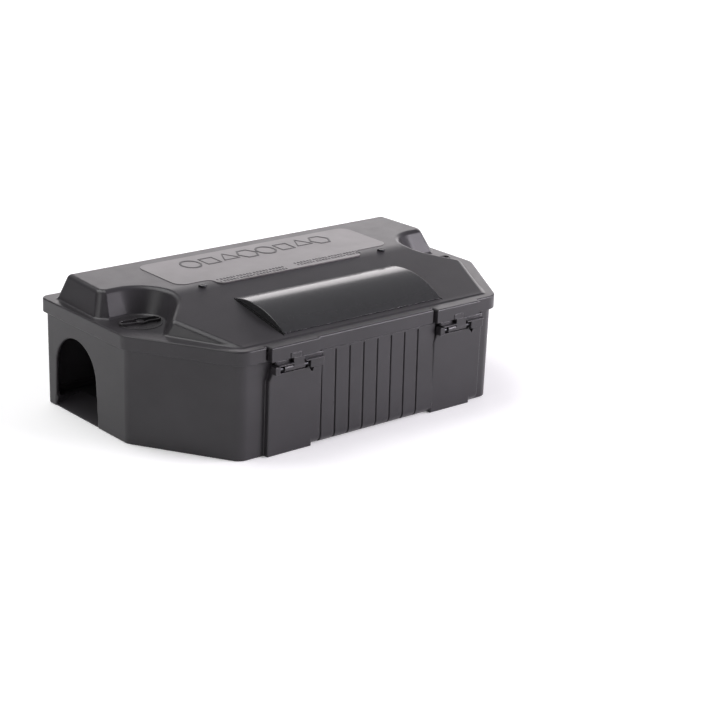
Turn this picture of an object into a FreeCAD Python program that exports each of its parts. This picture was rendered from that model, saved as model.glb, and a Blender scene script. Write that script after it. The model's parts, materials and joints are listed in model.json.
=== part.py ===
import FreeCAD, Part
import os
import Sketcher
from FreeCAD import Placement, Rotation, Vector

# A rodent bait station: a moulded base with an entrance in each end, a lid that swings up and
# forward on two hinges, a key-turned lock in each front corner and a lift-out bait tray.
# Origin: centre of the footprint on the ground, hinges included. +X runs along the box, +Z is up,
# and the hinged, ribbed front faces -Y. Millimetres.

DIMENSIONS = [
    ("half_length", 160.0, "lid flange, half of its length"),
    ("half_depth", 90.0, "lid flange, half of its depth"),
    ("corner_y", 16.0, "where the diagonal front corners start, in front of the centre"),
    ("corner_angle", 31.3, "angle between X and the diagonal's normal, degrees"),
    ("skin", 2.4, "wall of every moulded shell"),
    ("draft", 0.6, "mould draft of the base, degrees"),
    ("flange_top", 79.0, "height of the lid's shelf"),
    ("flange_drop", 10.2, "height of the lid's flange"),
    ("flange_inset", 3.0, "base wall behind the flange's outer face"),
    ("rim_top", 75.8, "height of the base's rim"),
    ("back_round", 7.0, "rounding of the flange's back corners"),
    ("front_round", 13.0, "rounding of the flange's front corners"),
    ("floor_bottom", 5.0, "underside of the floor"),
    ("end_foot", 152.7, "hump, half-length at the shelf"),
    ("end_lean", 7.0, "hump, how far each end leans in"),
    ("back_foot", 79.0, "hump, back wall at the shelf"),
    ("back_lean", 4.2, "hump, how far the back leans in"),
    ("front_foot", 82.0, "hump, front edge of the slope"),
    ("wedge_front", 107.9, "hump, half-length at the front edge"),
    ("wedge_angle", 27.5, "hump, angle of the diagonal walls to the depth, degrees"),
    ("hump_height", 18.2, "hump, height over the shelf"),
    ("break_y", 1.5, "where the top turns into the front slope"),
    ("break_drop", 0.8, "how much lower than the back edge that is"),
    ("slope_lip", 0.6, "height of the slope's front edge over the shelf"),
    ("lock_x", 134.8, "lock recess, distance from the centre"),
    ("lock_y", 0.4, "lock recess, along the depth"),
    ("lock_recess", 21.1, "lock recess, radius"),
    ("runout_angle", 52.0, "lock recess, direction of its front wall, degrees"),
    ("runout_length", 25.0, "lock recess, length of its front wall"),
    ("hinge_y", 91.5, "hinge axis in front of the centre"),
    ("hinge_z", 62.3, "hinge axis height"),
    ("hinge_x", 73.65, "hinge barrel centre, left of the centre"),
    ("hinge_step", 148.1, "distance between the two hinges"),
    ("pin_radius", 1.2, "hinge pin radius"),
    ("pin_gap", 0.08, "running clearance of the hinge pin"),
    ("pin_length", 39.0, "hinge pin length"),
    ("barrel_radius", 2.4, "hinge barrel radius"),
    ("barrel_width", 17.6, "hinge barrel width"),
    ("window_half", 12.9, "half-width of the window round the barrel"),
    ("neck_left", 1.4, "lid's hinge neck, left edge from the barrel's centre"),
    ("neck_width", 9.2, "width of the lid's hinge neck"),
    ("hinge_stretch", 41.2, "length of the flange's thicker stretch over a hinge"),
    ("stretch_out", 3.4, "how far that stretch stands out"),
    ("middle_out", 1.2, "how far the flange stands out between the hinges"),
    ("flange_slot", 2.2, "slot in the flange left of each hinge"),
    ("panel_left", 19.6, "hinge panel, left edge from the barrel's centre"),
    ("panel_width", 46.0, "hinge panel, width"),
    ("panel_over", 5.9, "top of the panel over the hinge axis"),
    ("ledge_over", 3.7, "top of the panel's ledge over the hinge axis"),
    ("panel_chamfer", 5.1, "width of the panel's cut corner"),
    ("chamfer_height", 11.5, "height of the panel's cut corner, under the ledge"),
    ("panel_back", 0.5, "face of the panel behind the hinge axis"),
    ("panel_sink", 0.8, "how deep the panel is rooted in the wall"),
    ("ledge_out", 3.4, "front of the panel's ledge, from the hinge axis"),
    ("ledge_width", 39.4, "length of the ledge"),
    ("block_out", 2.9, "half-height of the pin's blocks, and how far they stand out"),
    ("block_reach", 11.5, "width of the pin's block"),
    ("stub_width", 4.2, "width of the pin's stub"),
    ("rib_out", 0.3, "face of the ribs, in front of the flange's corners"),
    ("rib_first", 47.7, "first rib groove, left of the centre"),
    ("rib_pitch", 12.5, "distance between rib grooves"),
    ("rib_width", 1.2, "width of a rib groove"),
    ("rib_depth", 0.9, "depth of a rib groove"),
    ("door_y", 48.3, "entrance centre along the depth"),
    ("door_z", 31.9, "height of the entrance arch's centre"),
    ("door_radius", 25.5, "entrance arch radius"),
    ("door_flare", 1.6, "how much wider each leg is at the ground"),
    ("dome_half", 71.5, "domed cover, half of its length"),
    ("dome_back", 22.0, "domed cover, back edge in front of the centre"),
    ("dome_front", 78.5, "domed cover, front edge in front of the centre"),
    ("dome_rise", 6.6, "domed cover, height over the slope"),
    ("core_radius", 15.6, "lock core head radius"),
    ("stem_radius", 11.5, "lock core stem radius"),
    ("core_gap", 0.3, "clearance of the lock core's stem in the lid"),
    ("slot_width", 5.2, "key slot width"),
    ("slot_length", 28.6, "key slot length"),
    ("arm_reach", 17.0, "lock arm length from the core's axis"),
    ("keeper_deep", 5.2, "block over the turned lock arm, into the base"),
    ("keeper_width", 16.0, "width of that block"),
    ("baffle_x", 108.0, "inner baffles, distance from the centre"),
    ("baffle_front", 15.0, "front end of each baffle, behind the centre"),
    ("baffle_back", 83.0, "back end of each baffle"),
    ("tray_half", 95.0, "bait tray, half of its length"),
    ("tray_front", 78.0, "bait tray, front face in front of the centre"),
    ("tray_back", 12.0, "bait tray, back face in front of the centre"),
    ("tray_height", 15.0, "bait tray height"),
    ("rod_first", 72.0, "outer bait rods, distance from the centre"),
    ("rod_pitch", 48.0, "distance between bait rods"),
    ("rod_y", 45.0, "bait rods in front of the centre"),
    ("rod_radius", 1.6, "bait rod wire radius"),
    ("block_width", 27.0, "bait block width"),
    ("block_height", 17.0, "bait block height"),
    ("screw_x", 82.0, "card holder screws, distance from the centre"),
    ("screw_y", 1.4, "card holder screws, along the depth"),
    ("holder_half", 70.0, "card holder, half of its length"),
    ("holder_front", 6.0, "card holder, front edge behind the centre"),
    ("holder_deep", 58.0, "card holder, depth"),
    ("anchor_x", 125.0, "anchor holes, distance from the centre"),
    ("anchor_radius", 2.75, "anchor hole radius"),
]

# Fall of the lid's front slope, as height over depth.
SLOPE = "((hump_height - break_drop - slope_lip) / (front_foot + break_y))"

doc = FreeCAD.newDocument("bait_station")
sheet = doc.addObject("Spreadsheet::Sheet", "Sizes")
for row, (alias, size, meaning) in enumerate(DIMENSIONS, start=1):
    sheet.set(f"A{row}", alias)
    sheet.set(f"B{row}", str(size))
    sheet.set(f"C{row}", meaning)
    sheet.setAlias(f"B{row}", alias)
doc.recompute()

pieces = []


def spell(text):
    """An expression in the sheet's own terms: every dimension's name gets its sheet in front."""
    words = {alias for alias, _, _ in DIMENSIONS}
    out = ""
    word = ""
    for letter in str(text) + " ":
        if letter.isalnum() or letter == "_":
            word += letter
            continue
        out += f"Sizes.{word}" if word in words else word
        out += letter
        word = ""
    return out.strip()


def number(owner, text):
    """What an expression is worth now."""
    worth = owner.evalExpression(spell(text))
    return float(getattr(worth, "Value", worth))


def bind(item, **sizes):
    """Binds properties to expressions in the sheet's dimensions."""
    for name, text in sizes.items():
        item.setExpression(name, spell(text))


def place(item, x="0", y="0", z="0", axis=None, angle=0):
    """Puts an item at a place given by expressions, turned about an axis by a plain angle."""
    if axis is not None:
        item.Placement = Placement(Vector(), Rotation(Vector(*axis), angle))
    for name, text in (("x", x), ("y", y), ("z", z)):
        item.setExpression(f"Placement.Base.{name}", spell(text))
    return item


def piece(item, node):
    """Names a finished piece and keeps it for the export. Everything is drawn about the centre
    of the lid's flange; the piece moves back by half of what the hinges stand out in front."""
    item.Label = node
    drawn = {path.lstrip("."): text for path, text in item.ExpressionEngine}
    there = drawn.get("Placement.Base.y", "0")
    moved = spell("(hinge_y + ledge_out - half_depth) / 2")
    item.setExpression("Placement.Base.y", f"({there}) + {moved}")
    pieces.append(item)
    return item


def block(name, x, y, z, long, deep, high):
    """A box whose low corner and sides are expressions."""
    item = doc.addObject("Part::Box", name)
    bind(item, Length=long, Width=deep, Height=high)
    return place(item, x, y, z)


def rod(name, radius, high, x="0", y="0", z="0", axis=None, angle=0):
    """A cylinder along Z, or turned about an axis."""
    item = doc.addObject("Part::Cylinder", name)
    bind(item, Radius=radius, Height=high)
    return place(item, x, y, z, axis, angle)


def fuse(name, items):
    item = doc.addObject("Part::MultiFuse", name)
    item.Shapes = items
    item.Refine = True
    return item


def cut(name, base, tool):
    item = doc.addObject("Part::Cut", name)
    item.Base = base
    item.Tool = tool
    item.Refine = True
    return item


def new_body(name):
    return doc.addObject("PartDesign::Body", name)


def outline(body, name, role, offset, corners):
    """A closed sketch of straight lines on one of the body's origin planes.

    offset and every corner's two coordinates are expressions."""
    sketch = body.newObject("Sketcher::SketchObject", name)
    plane = [p for p in body.Origin.OriginFeatures if p.Role == role][0]
    sketch.AttachmentSupport = [(plane, "")]
    sketch.MapMode = "FlatFace"
    sketch.setExpression("AttachmentOffset.Base.z", spell(offset))
    points = [Vector(number(sketch, a), number(sketch, b), 0) for a, b in corners]
    count = len(points)
    for i in range(count):
        sketch.addGeometry(Part.LineSegment(points[i], points[(i + 1) % count]), False)
    for i in range(count):
        sketch.addConstraint(Sketcher.Constraint("Coincident", i, 2, (i + 1) % count, 1))
    for i, corner in enumerate(corners):
        for kind, text, value in (
            ("DistanceX", corner[0], points[i].x),
            ("DistanceY", corner[1], points[i].y),
        ):
            index = sketch.addConstraint(Sketcher.Constraint(kind, -1, 1, i, 1, value))
            sketch.renameConstraint(index, f"{kind}_{i}")
            sketch.setExpression(f"Constraints.{kind}_{i}", spell(text))
    return sketch


def pad(body, name, sketch, length, taper=None, down=False):
    item = body.newObject("PartDesign::Pad", name)
    item.Profile = sketch
    item.Reversed = down
    bind(item, Length=length)
    if taper is not None:
        bind(item, TaperAngle=taper)
    return item


def pocket(body, name, sketch, length, taper=None, up=False, both=False):
    """Takes a sketch's shape away: below its plane, above it, or on both sides."""
    item = body.newObject("PartDesign::Pocket", name)
    item.Profile = sketch
    item.Reversed = up
    item.Midplane = both
    bind(item, Length=length)
    if taper is not None:
        bind(item, TaperAngle=taper)
    return item


def round_edges(body, name, base, radius, wanted):
    """Rounds the edges of a feature that the test picks."""
    doc.recompute()
    names = [f"Edge{i}" for i, edge in enumerate(base.Shape.Edges, start=1) if wanted(edge)]
    item = body.newObject("PartDesign::Fillet", name)
    item.Base = (base, names)
    bind(item, Radius=radius)
    return item


def upright(edge):
    """True for a straight edge that stands, with or without draft."""
    run = edge.Vertexes[-1].Point - edge.Vertexes[0].Point
    return abs(run.z) > 4 * Vector(run.x, run.y, 0).Length


def footprint(inset):
    """The station's plan, stepped in by an expression: square back, diagonal front corners."""
    end = f"(half_length - ({inset}))"
    back = f"(half_depth - ({inset}))"
    side = f"(-corner_y + ({inset}) * tan(corner_angle / 2))"
    nose = (
        f"(half_length - (half_depth - corner_y) * tan(corner_angle)"
        f" - ({inset}) * tan(45 - corner_angle / 2))"
    )
    return [
        (end, back),
        (f"-{end}", back),
        (f"-{end}", side),
        (f"-{nose}", f"-{back}"),
        (nose, f"-{back}"),
        (end, side),
    ]


def rectangle(x0, x1, y0, y1):
    return [(x0, y0), (x1, y0), (x1, y1), (x0, y1)]


# ---- base -------------------------------------------------------------------------------------

def base_block():
    """The base's outside: straight walls with draft, rounded like the lid's flange."""
    body = new_body("base_block")
    plan = outline(body, "base_plan", "XY_Plane", "rim_top", footprint("flange_inset"))
    walls = pad(body, "base_walls", plan, "rim_top", "-draft", down=True)
    backs = round_edges(
        body, "base_backs", walls, "back_round - flange_inset",
        lambda edge: upright(edge) and edge.Vertexes[0].Point.y > 0,
    )
    round_edges(
        body, "base_fronts", backs, "front_round - flange_inset",
        lambda edge: upright(edge) and edge.Vertexes[0].Point.y < 0,
    )
    doc.recompute()
    well = outline(body, "well_plan", "XY_Plane", "rim_top", footprint("flange_inset + skin"))
    pocket(body, "well", well, "rim_top - floor_bottom - skin", "-draft")
    under = outline(body, "under_plan", "XY_Plane", "0", footprint("flange_inset + skin + 0.8"))
    pocket(body, "under", under, "floor_bottom", up=True)
    for side, sign in (("left", "-"), ("right", "")):
        legs = rectangle("door_y - door_radius", "door_y + door_radius", "-1", "door_z")
        legs[0] = ("door_y - door_radius - door_flare", "-1")
        legs[1] = ("door_y + door_radius + door_flare", "-1")
        at = f"{sign}(half_length - flange_inset)"
        door = outline(body, f"door_{side}", "YZ_Plane", at, legs)
        pocket(body, f"door_cut_{side}", door, "9", both=True)
    return body


def door_arches():
    """The round tops of the two entrances."""
    return [
        rod(f"arch_{side}", "door_radius", "9", f"{sign}(half_length - flange_inset) - 4.5",
            "door_y", "door_z", (0, 1, 0), 90)
        for side, sign in (("left", "-"), ("right", ""))
    ]


def rib_front():
    """The raised front between the hinge panels, which the grooves divide into ribs."""
    return block("rib_front", "-hinge_x - panel_left + panel_width - 1", "-(half_depth + rib_out)", "0",
                 "hinge_step - panel_width + 2", "rib_out + flange_inset + panel_sink",
                 "hinge_z + panel_over")


def rib_grooves():
    """Eight upright grooves: one along the left hinge panel's edge and seven between the ribs."""
    return [
        block(f"groove_{i}", f"-rib_first + {i} * rib_pitch - rib_width / 2",
              "-(half_depth + rib_out) - 1", "-1", "rib_width", "1 + rib_depth",
              "hinge_z + panel_over - 0.6")
        for i in range(8)
    ]


def hinge_panel(side, shift):
    """The raised panel under one hinge, with its ledge and the blocks that hold the pin."""
    left = f"-hinge_x - panel_left + {shift}"
    top = "hinge_z + panel_over"
    ledge_top = "hinge_z + ledge_over"
    body = new_body(f"panel_{side}")
    shape = [
        (left, "0"),
        (f"{left} + panel_width", "0"),
        (f"{left} + panel_width", top),
        (f"{left} + panel_chamfer", top),
        (f"{left} + panel_chamfer", ledge_top),
        (left, f"{ledge_top} - chamfer_height"),
    ]
    root = "half_depth - flange_inset - panel_sink"
    front = outline(body, f"panel_front_{side}", "XZ_Plane", root, shape)
    pad(body, f"panel_pad_{side}", front, f"hinge_y - panel_back - ({root})")
    ledge = block(f"ledge_{side}", f"{left} + panel_chamfer", "-(hinge_y + ledge_out)", f"{ledge_top} - 1",
                  "ledge_width", "ledge_out + 1", "1")
    pin_block = block(f"pin_block_{side}", f"-hinge_x + window_half + {shift}", "-(hinge_y + block_out)",
                      "hinge_z - block_out", "block_reach", "block_out + 1", "2 * block_out")
    stub = block(f"pin_stub_{side}", f"-hinge_x - window_half - stub_width + {shift}",
                 "-(hinge_y + block_out)", "hinge_z - block_out", "stub_width + 0.2", "block_out + 1",
                 "2 * block_out")
    return [body, ledge, pin_block, stub]


def hinge_voids(side, shift):
    """The window for the lid's barrel, the gap for its neck and the bore for the pin."""
    window = block(f"window_{side}", f"-hinge_x - window_half + {shift}", "-(hinge_y + 4)",
                   "hinge_z - 3.5", "2 * window_half", "7.6", "6.2")
    neck = block(f"neck_gap_{side}", f"-hinge_x - neck_left - 0.5 + {shift}", "-(hinge_y + 4)",
                 "hinge_z", "neck_width + 1", "7.5", "6")
    bore = rod(f"pin_bore_{side}", "pin_radius", "pin_length + 4", pin_start(shift), "-hinge_y",
               "hinge_z", (0, 1, 0), 90)
    return [window, neck, bore]


def pin_start(shift):
    """Where a hinge pin's left end lies along the front."""
    return f"-hinge_x - pin_length / 2 + 3.25 + {shift}"


def make_keepers():
    """A small block on the inside of each end wall: the turned lock arm comes to lie under it."""
    wall = "(half_length - flange_inset - skin - 0.05)"
    for side, x in (("left", f"-{wall}"), ("right", f"{wall} - keeper_deep")):
        keeper = block(f"keeper_{side}", x, "lock_y - keeper_width / 2", "rim_top - 3.5",
                       "keeper_deep", "keeper_width", "skin")
        piece(keeper, f"lock_keeper_{side}")


def baffle_rails():
    """Two rails on the floor at each end, which hold a baffle's foot."""
    rails = []
    for side, sign in (("left", "-1"), ("right", "1")):
        for edge, step in (("outer", "skin / 2 + 0.1"), ("inner", "-skin / 2 - 0.1 - 2")):
            rails.append(
                block(f"rail_{side}_{edge}", f"{sign} * baffle_x + {step}", "baffle_front + 1",
                      "floor_bottom + skin - 0.2", "2", "66", "5.2")
            )
    return rails


def anchor_holes():
    return [
        rod(f"anchor_{side}", "anchor_radius", "skin + 4", f"{sign}anchor_x", "-5",
            "floor_bottom - 2")
        for side, sign in (("left", "-"), ("right", ""))
    ]


def make_base():
    added = [base_block(), rib_front()] + baffle_rails()
    voids = door_arches() + rib_grooves() + anchor_holes()
    for side, shift in (("left", "0"), ("right", "hinge_step")):
        added += hinge_panel(side, shift)
        voids += hinge_voids(side, shift)
    whole = fuse("base_added", added)
    return piece(cut("base_cut", whole, fuse("base_voids", voids)), "base_shell")


# ---- lid --------------------------------------------------------------------------------------

def hump(name, inset, low):
    """The raised part of the lid, stepped in by an expression: its ends and back lean in, its
    top is nearly level, a long slope falls to the front edge and diagonals cut the corners."""
    ridge = "flange_top + hump_height"
    wedge = doc.addObject("Part::Wedge", f"{name}_wedge")
    end = f"(end_foot - ({inset}))"
    end_top = f"(end_foot - end_lean - ({inset}))"
    bind(
        wedge, Xmin=f"-{end}", Xmax=end, X2min=f"-{end_top}", X2max=end_top,
        Zmin=f"-(back_foot - ({inset}))", Zmax="half_depth",
        Z2min=f"-(back_foot - back_lean - ({inset}))", Z2max="half_depth",
        Ymin="flange_top", Ymax=ridge,
    )
    place(wedge, axis=(1, 0, 0), angle=90)
    foot = block(f"{name}_foot", f"-{end}", "-half_depth", low, f"2 * {end}",
                 f"half_depth + back_foot - ({inset})", f"flange_top - ({low}) + 0.01")
    side_view = new_body(f"{name}_side_view")
    profile = outline(side_view, f"{name}_profile", "YZ_Plane", "0", [
        ("half_depth", low),
        ("half_depth", f"{ridge} - ({inset})"),
        ("back_foot - back_lean", f"{ridge} - ({inset})"),
        ("break_y", f"{ridge} - break_drop - ({inset})"),
        (f"-(front_foot - ({inset}))", f"flange_top + slope_lip - ({inset}) * (1 - {SLOPE})"),
        (f"-(front_foot - ({inset}))", low),
    ])
    profile_pad = pad(side_view, f"{name}_long", profile, "2 * half_length")
    profile_pad.Midplane = True
    plan_view = new_body(f"{name}_plan_view")
    nose = f"(wedge_front - ({inset}))"
    plan = outline(plan_view, f"{name}_plan", "XY_Plane", low, [
        ("half_length + 5", "half_depth"),
        ("-(half_length + 5)", "half_depth"),
        ("-(half_length + 5)", f"-front_foot + (half_length + 5 - {nose}) / tan(wedge_angle)"),
        (f"-{nose}", "-front_foot"),
        (nose, "-front_foot"),
        ("half_length + 5", f"-front_foot + (half_length + 5 - {nose}) / tan(wedge_angle)"),
    ])
    pad(plan_view, f"{name}_high", plan, "30")
    whole = doc.addObject("Part::MultiCommon", name)
    whole.Shapes = [fuse(f"{name}_raw", [wedge, foot]), side_view, plan_view]
    return whole


def recess(name, sign, inset, low):
    """The space of one lock recess, stepped out by an expression: a round well that runs out
    tangentially to the diagonal edge and to the end."""
    high = "30"
    wide = f"(lock_recess + ({inset}))"
    well = rod(f"{name}_well", wide, high, f"{sign}lock_x", "lock_y", low)
    start_x = f"(lock_x - {wide} * sin(runout_angle))"
    start_y = f"(lock_y - {wide} * cos(runout_angle))"
    corners = [
        (start_x, start_y),
        (f"({start_x} + runout_length * cos(runout_angle))",
         f"({start_y} - runout_length * sin(runout_angle))"),
        ("(half_length + 5)", "(-half_depth + 25)"),
        ("(half_length + 5)", f"(lock_y + {wide} + 8)"),
        ("(end_foot + 3)", f"(lock_y + {wide} + 6)"),
        ("(end_foot - 6)", f"(lock_y + {wide})"),
        ("(lock_x)", f"(lock_y + {wide})"),
    ]
    body = new_body(f"{name}_run")
    plan = outline(body, f"{name}_plan", "XY_Plane", low, [(f"{sign}{x}", y) for x, y in corners])
    pad(body, f"{name}_rise", plan, high)
    return [well, body]


def lid_outside():
    """Flange, the thicker flange stretches at the front, and the hump with its two recesses."""
    body = new_body("flange_block")
    low = "flange_top - flange_drop"
    plan = outline(body, "flange_plan", "XY_Plane", low, footprint("0"))
    ring = pad(body, "flange_ring", plan, "flange_drop")
    backs = round_edges(body, "flange_backs", ring, "back_round",
                        lambda edge: upright(edge) and edge.Vertexes[0].Point.y > 0)
    round_edges(body, "flange_fronts", backs, "front_round",
                lambda edge: upright(edge) and edge.Vertexes[0].Point.y < 0)
    doc.recompute()
    middle = block("flange_middle", "-hinge_x - panel_left + hinge_stretch", "-(half_depth + middle_out)",
                   low, "hinge_step - hinge_stretch", "5", "flange_drop")
    hinges = [
        block(f"flange_hinge_{side}", f"-hinge_x - panel_left + {shift}", "-(half_depth + stretch_out)",
              low, "hinge_stretch", "stretch_out + 3.6", "flange_drop")
        for side, shift in (("left", "0"), ("right", "hinge_step"))
    ]
    wells = recess("recess_left", "-", "0", "flange_top")
    wells += recess("recess_right", "", "0", "flange_top")
    raised = cut("hump_cut", hump("hump_outside", "0", "flange_top - 1"), fuse("recesses", wells))
    return fuse("lid_solid", [body, middle, raised] + hinges)


def lid_hollow():
    """The hollow under the shelf, inside the flange, and under the hump."""
    body = new_body("flange_hollow")
    plan = outline(body, "hollow_plan", "XY_Plane", "flange_top - flange_drop - 1", footprint("skin"))
    pad(body, "hollow_rise", plan, "flange_drop + 1 - skin")
    wells = recess("clear_left", "-", "skin", "flange_top - skin")
    wells += recess("clear_right", "", "skin", "flange_top - skin")
    under = cut("hump_under", hump("hump_inside", "skin", "flange_top - skin - 0.5"),
                fuse("clearances", wells))
    return fuse("lid_inside", [body, under])


def make_lid():
    """The lid's shell, with its hinge barrels and every hole in it."""
    shell = cut("lid_walls", lid_outside(), lid_hollow())
    added = [shell]
    voids = []
    for side, shift in (("left", "0"), ("right", "hinge_step")):
        centre = f"-hinge_x + {shift}"
        added.append(rod(f"barrel_{side}", "barrel_radius", "barrel_width",
                         f"{centre} - barrel_width / 2", "-hinge_y", "hinge_z", (0, 1, 0), 90))
        added.append(block(f"neck_{side}", f"{centre} - neck_left", "-(hinge_y + barrel_radius)",
                           "hinge_z", "neck_width", "barrel_radius + 2.4",
                           "flange_top - hinge_z - 2.8"))
        voids.append(rod(f"lid_bore_{side}", "pin_radius + pin_gap", "barrel_width + 2",
                         f"{centre} - barrel_width / 2 - 1", "-hinge_y", "hinge_z", (0, 1, 0), 90))
        voids.append(block(f"flange_slot_{side}", f"{centre} - panel_left - flange_slot",
                           "-(half_depth + 6)", "flange_top - flange_drop - 1", "flange_slot", "9",
                           "flange_drop + 0.4"))
    for side, sign in (("left", "-"), ("right", "")):
        voids.append(rod(f"core_hole_{side}", "stem_radius + core_gap", "skin + 2",
                         f"{sign}lock_x", "lock_y", "flange_top - skin - 1"))
        voids.append(rod(f"screw_hole_{side}", "1.6", "12", f"{sign}screw_x", "screw_y",
                         "flange_top + hump_height - 10"))
        voids.append(rod(f"screw_seat_{side}", "3.1", "5", f"{sign}screw_x", "screw_y",
                         "flange_top + hump_height - 1.1"))
        added.append(rod(f"screw_boss_{side}", "3.5", "2", f"{sign}screw_x", "screw_y",
                         "flange_top + hump_height - 4"))
    voids.append(dome_prism("dome_opening", "-1.2", "-4", "3"))
    whole = fuse("lid_added", added)
    return piece(cut("lid_cut", whole, fuse("lid_voids", voids)), "lid_shell")


# ---- domed cover ------------------------------------------------------------------------------

def on_slope(depth, over="0"):
    """A point over the front slope, as (depth, height) expressions."""
    return (f"-({depth})", f"(flange_top + slope_lip + (front_foot - ({depth})) * {SLOPE} + ({over}))")


def dome_prism(name, grow, drop, top):
    """A prism through the slope under the domed cover: grow widens it, drop and top are its
    lower and upper sides, measured from the slope."""
    back = f"dome_back - ({grow})"
    front = f"dome_front + ({grow})"
    body = new_body(name)
    side = outline(body, f"{name}_side", "YZ_Plane", "0", [
        on_slope(back, top), on_slope(back, drop), on_slope(front, drop), on_slope(front, top),
    ])
    long = pad(body, f"{name}_long", side, f"2 * (dome_half + ({grow}))")
    long.Midplane = True
    return body


def dome_segment(name, inset, low):
    """The solid between a line parallel to the slope and a shallow cylinder over it."""
    chord = f"((dome_front - dome_back) / cos(atan({SLOPE})))"
    radius = f"(({chord} ^ 2 / 4 + dome_rise ^ 2) / (2 * dome_rise))"
    middle = on_slope("((dome_back + dome_front) / 2)")
    sink = f"({radius} - dome_rise)"
    half = f"(dome_half - ({inset}))"
    barrel = rod(f"{name}_barrel", f"{radius} - ({inset})", f"2 * {half}", f"-{half}",
                 f"{middle[0]} + {sink} * sin(atan({SLOPE}))",
                 f"{middle[1]} - {sink} * cos(atan({SLOPE}))", (0, 1, 0), 90)
    back = "(dome_back - 5)"
    front = "(dome_front + 5)"
    over = new_body(f"{name}_over")
    side = outline(over, f"{name}_side", "YZ_Plane", "0", [
        on_slope(back, low), on_slope(front, low), on_slope(front, "30"), on_slope(back, "30"),
    ])
    long = pad(over, f"{name}_long", side, "2 * half_length")
    long.Midplane = True
    both = doc.addObject("Part::MultiCommon", name)
    both.Shapes = [barrel, over]
    return both


def make_dome():
    """A shallow domed cover on the front slope: a thin shell with closed ends, and a lip that
    sits in the lid's opening."""
    outer = dome_segment("dome_outer", "0", "0.05")
    lip = dome_prism("dome_lip", "-1.4", "-1.6", "0.1")
    inner = fuse("dome_inside", [
        dome_segment("dome_inner", "1.6", "0.05"),
        dome_prism("dome_lip_inner", "-3.4", "-5", "0.1"),
    ])
    return piece(cut("dome_shell", fuse("dome_whole", [outer, lip]), inner), "dome_cover")


# ---- hinges -----------------------------------------------------------------------------------

def make_hinge_pins():
    for side, shift in (("left", "0"), ("right", "hinge_step")):
        pin = rod(f"pin_{side}", "pin_radius", "pin_length", pin_start(shift), "-hinge_y", "hinge_z",
                  (0, 1, 0), 90)
        piece(pin, f"hinge_pin_{side}")


# ---- locks ------------------------------------------------------------------------------------

def make_lock(side, sign):
    """One lock: a slotted core in the lid, a ring that keeps it there, and an arm held under the
    core by a screw. Turning the core a quarter turn swings the arm under the base's keeper."""
    x = f"{sign}lock_x"
    deck = "(flange_top + 0.3)"
    head = rod(f"core_head_{side}", "core_radius", "1.3", x, "lock_y", deck)
    stem = rod(f"core_stem_{side}", "stem_radius", "8.3", x, "lock_y", f"{deck} - 8")
    boss = rod(f"core_boss_{side}", "4.5", "2.2", x, "lock_y", f"{deck}")
    slot = block(f"core_slot_{side}", f"{x} - slot_length / 2", "lock_y - slot_width / 2",
                 f"{deck} - 0.5", "slot_length", "slot_width", "4")
    depth = block(f"core_deep_{side}", f"{x} - 10", "lock_y - slot_width / 2", f"{deck} - 4",
                  "20", "slot_width", "8")
    thread = rod(f"core_thread_{side}", "1.5", "7", x, "lock_y", f"{deck} - 8.5")
    groove_out = rod(f"core_groove_{side}", "stem_radius + 1", "1.2", x, "lock_y",
                     f"{deck} - 4.6")
    groove_in = rod(f"core_neck_{side}", "stem_radius - 1", "1.4", x, "lock_y", f"{deck} - 4.7")
    groove = cut(f"core_ring_cut_{side}", groove_out, groove_in)
    slots = cut(f"core_slots_{side}", fuse(f"core_both_{side}", [slot, depth]),
                rod(f"core_centre_{side}", "4.5", "12", x, "lock_y", f"{deck} - 6"))
    body = fuse(f"core_body_{side}", [head, stem, boss])
    piece(cut(f"core_cut_{side}", body, fuse(f"core_voids_{side}", [slots, thread, groove])),
          f"lock_core_{side}")

    ring = cut(f"ring_cut_{side}",
               rod(f"ring_out_{side}", "stem_radius + 2", "1", x, "lock_y", f"{deck} - 4.5"),
               rod(f"ring_in_{side}", "stem_radius - 1", "1.4", x, "lock_y", f"{deck} - 4.7"))
    piece(ring, f"lock_ring_{side}")

    low = f"({deck} - 11)"
    hub = rod(f"arm_hub_{side}", "6", "3", x, "lock_y", low)
    bar = block(f"arm_bar_{side}", f"{x} - 4", "lock_y", low, "8", "arm_reach", "3")
    hole = rod(f"arm_hole_{side}", "1.7", "5", x, "lock_y", f"{low} - 1")
    piece(cut(f"arm_cut_{side}", fuse(f"arm_both_{side}", [hub, bar]), hole), f"lock_arm_{side}")

    shank = rod(f"screw_shank_{side}", "1.5", "9", x, "lock_y", low)
    cap = rod(f"screw_cap_{side}", "3", "2", x, "lock_y", f"{low} - 2")
    drive = block(f"screw_drive_{side}", f"{x} - 3.5", "lock_y - 0.4", f"{low} - 3", "7", "0.8",
                  "2")
    piece(cut(f"screw_cut_{side}", fuse(f"screw_both_{side}", [shank, cap]), drive),
          f"lock_screw_{side}")


# ---- service card -----------------------------------------------------------------------------

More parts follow.
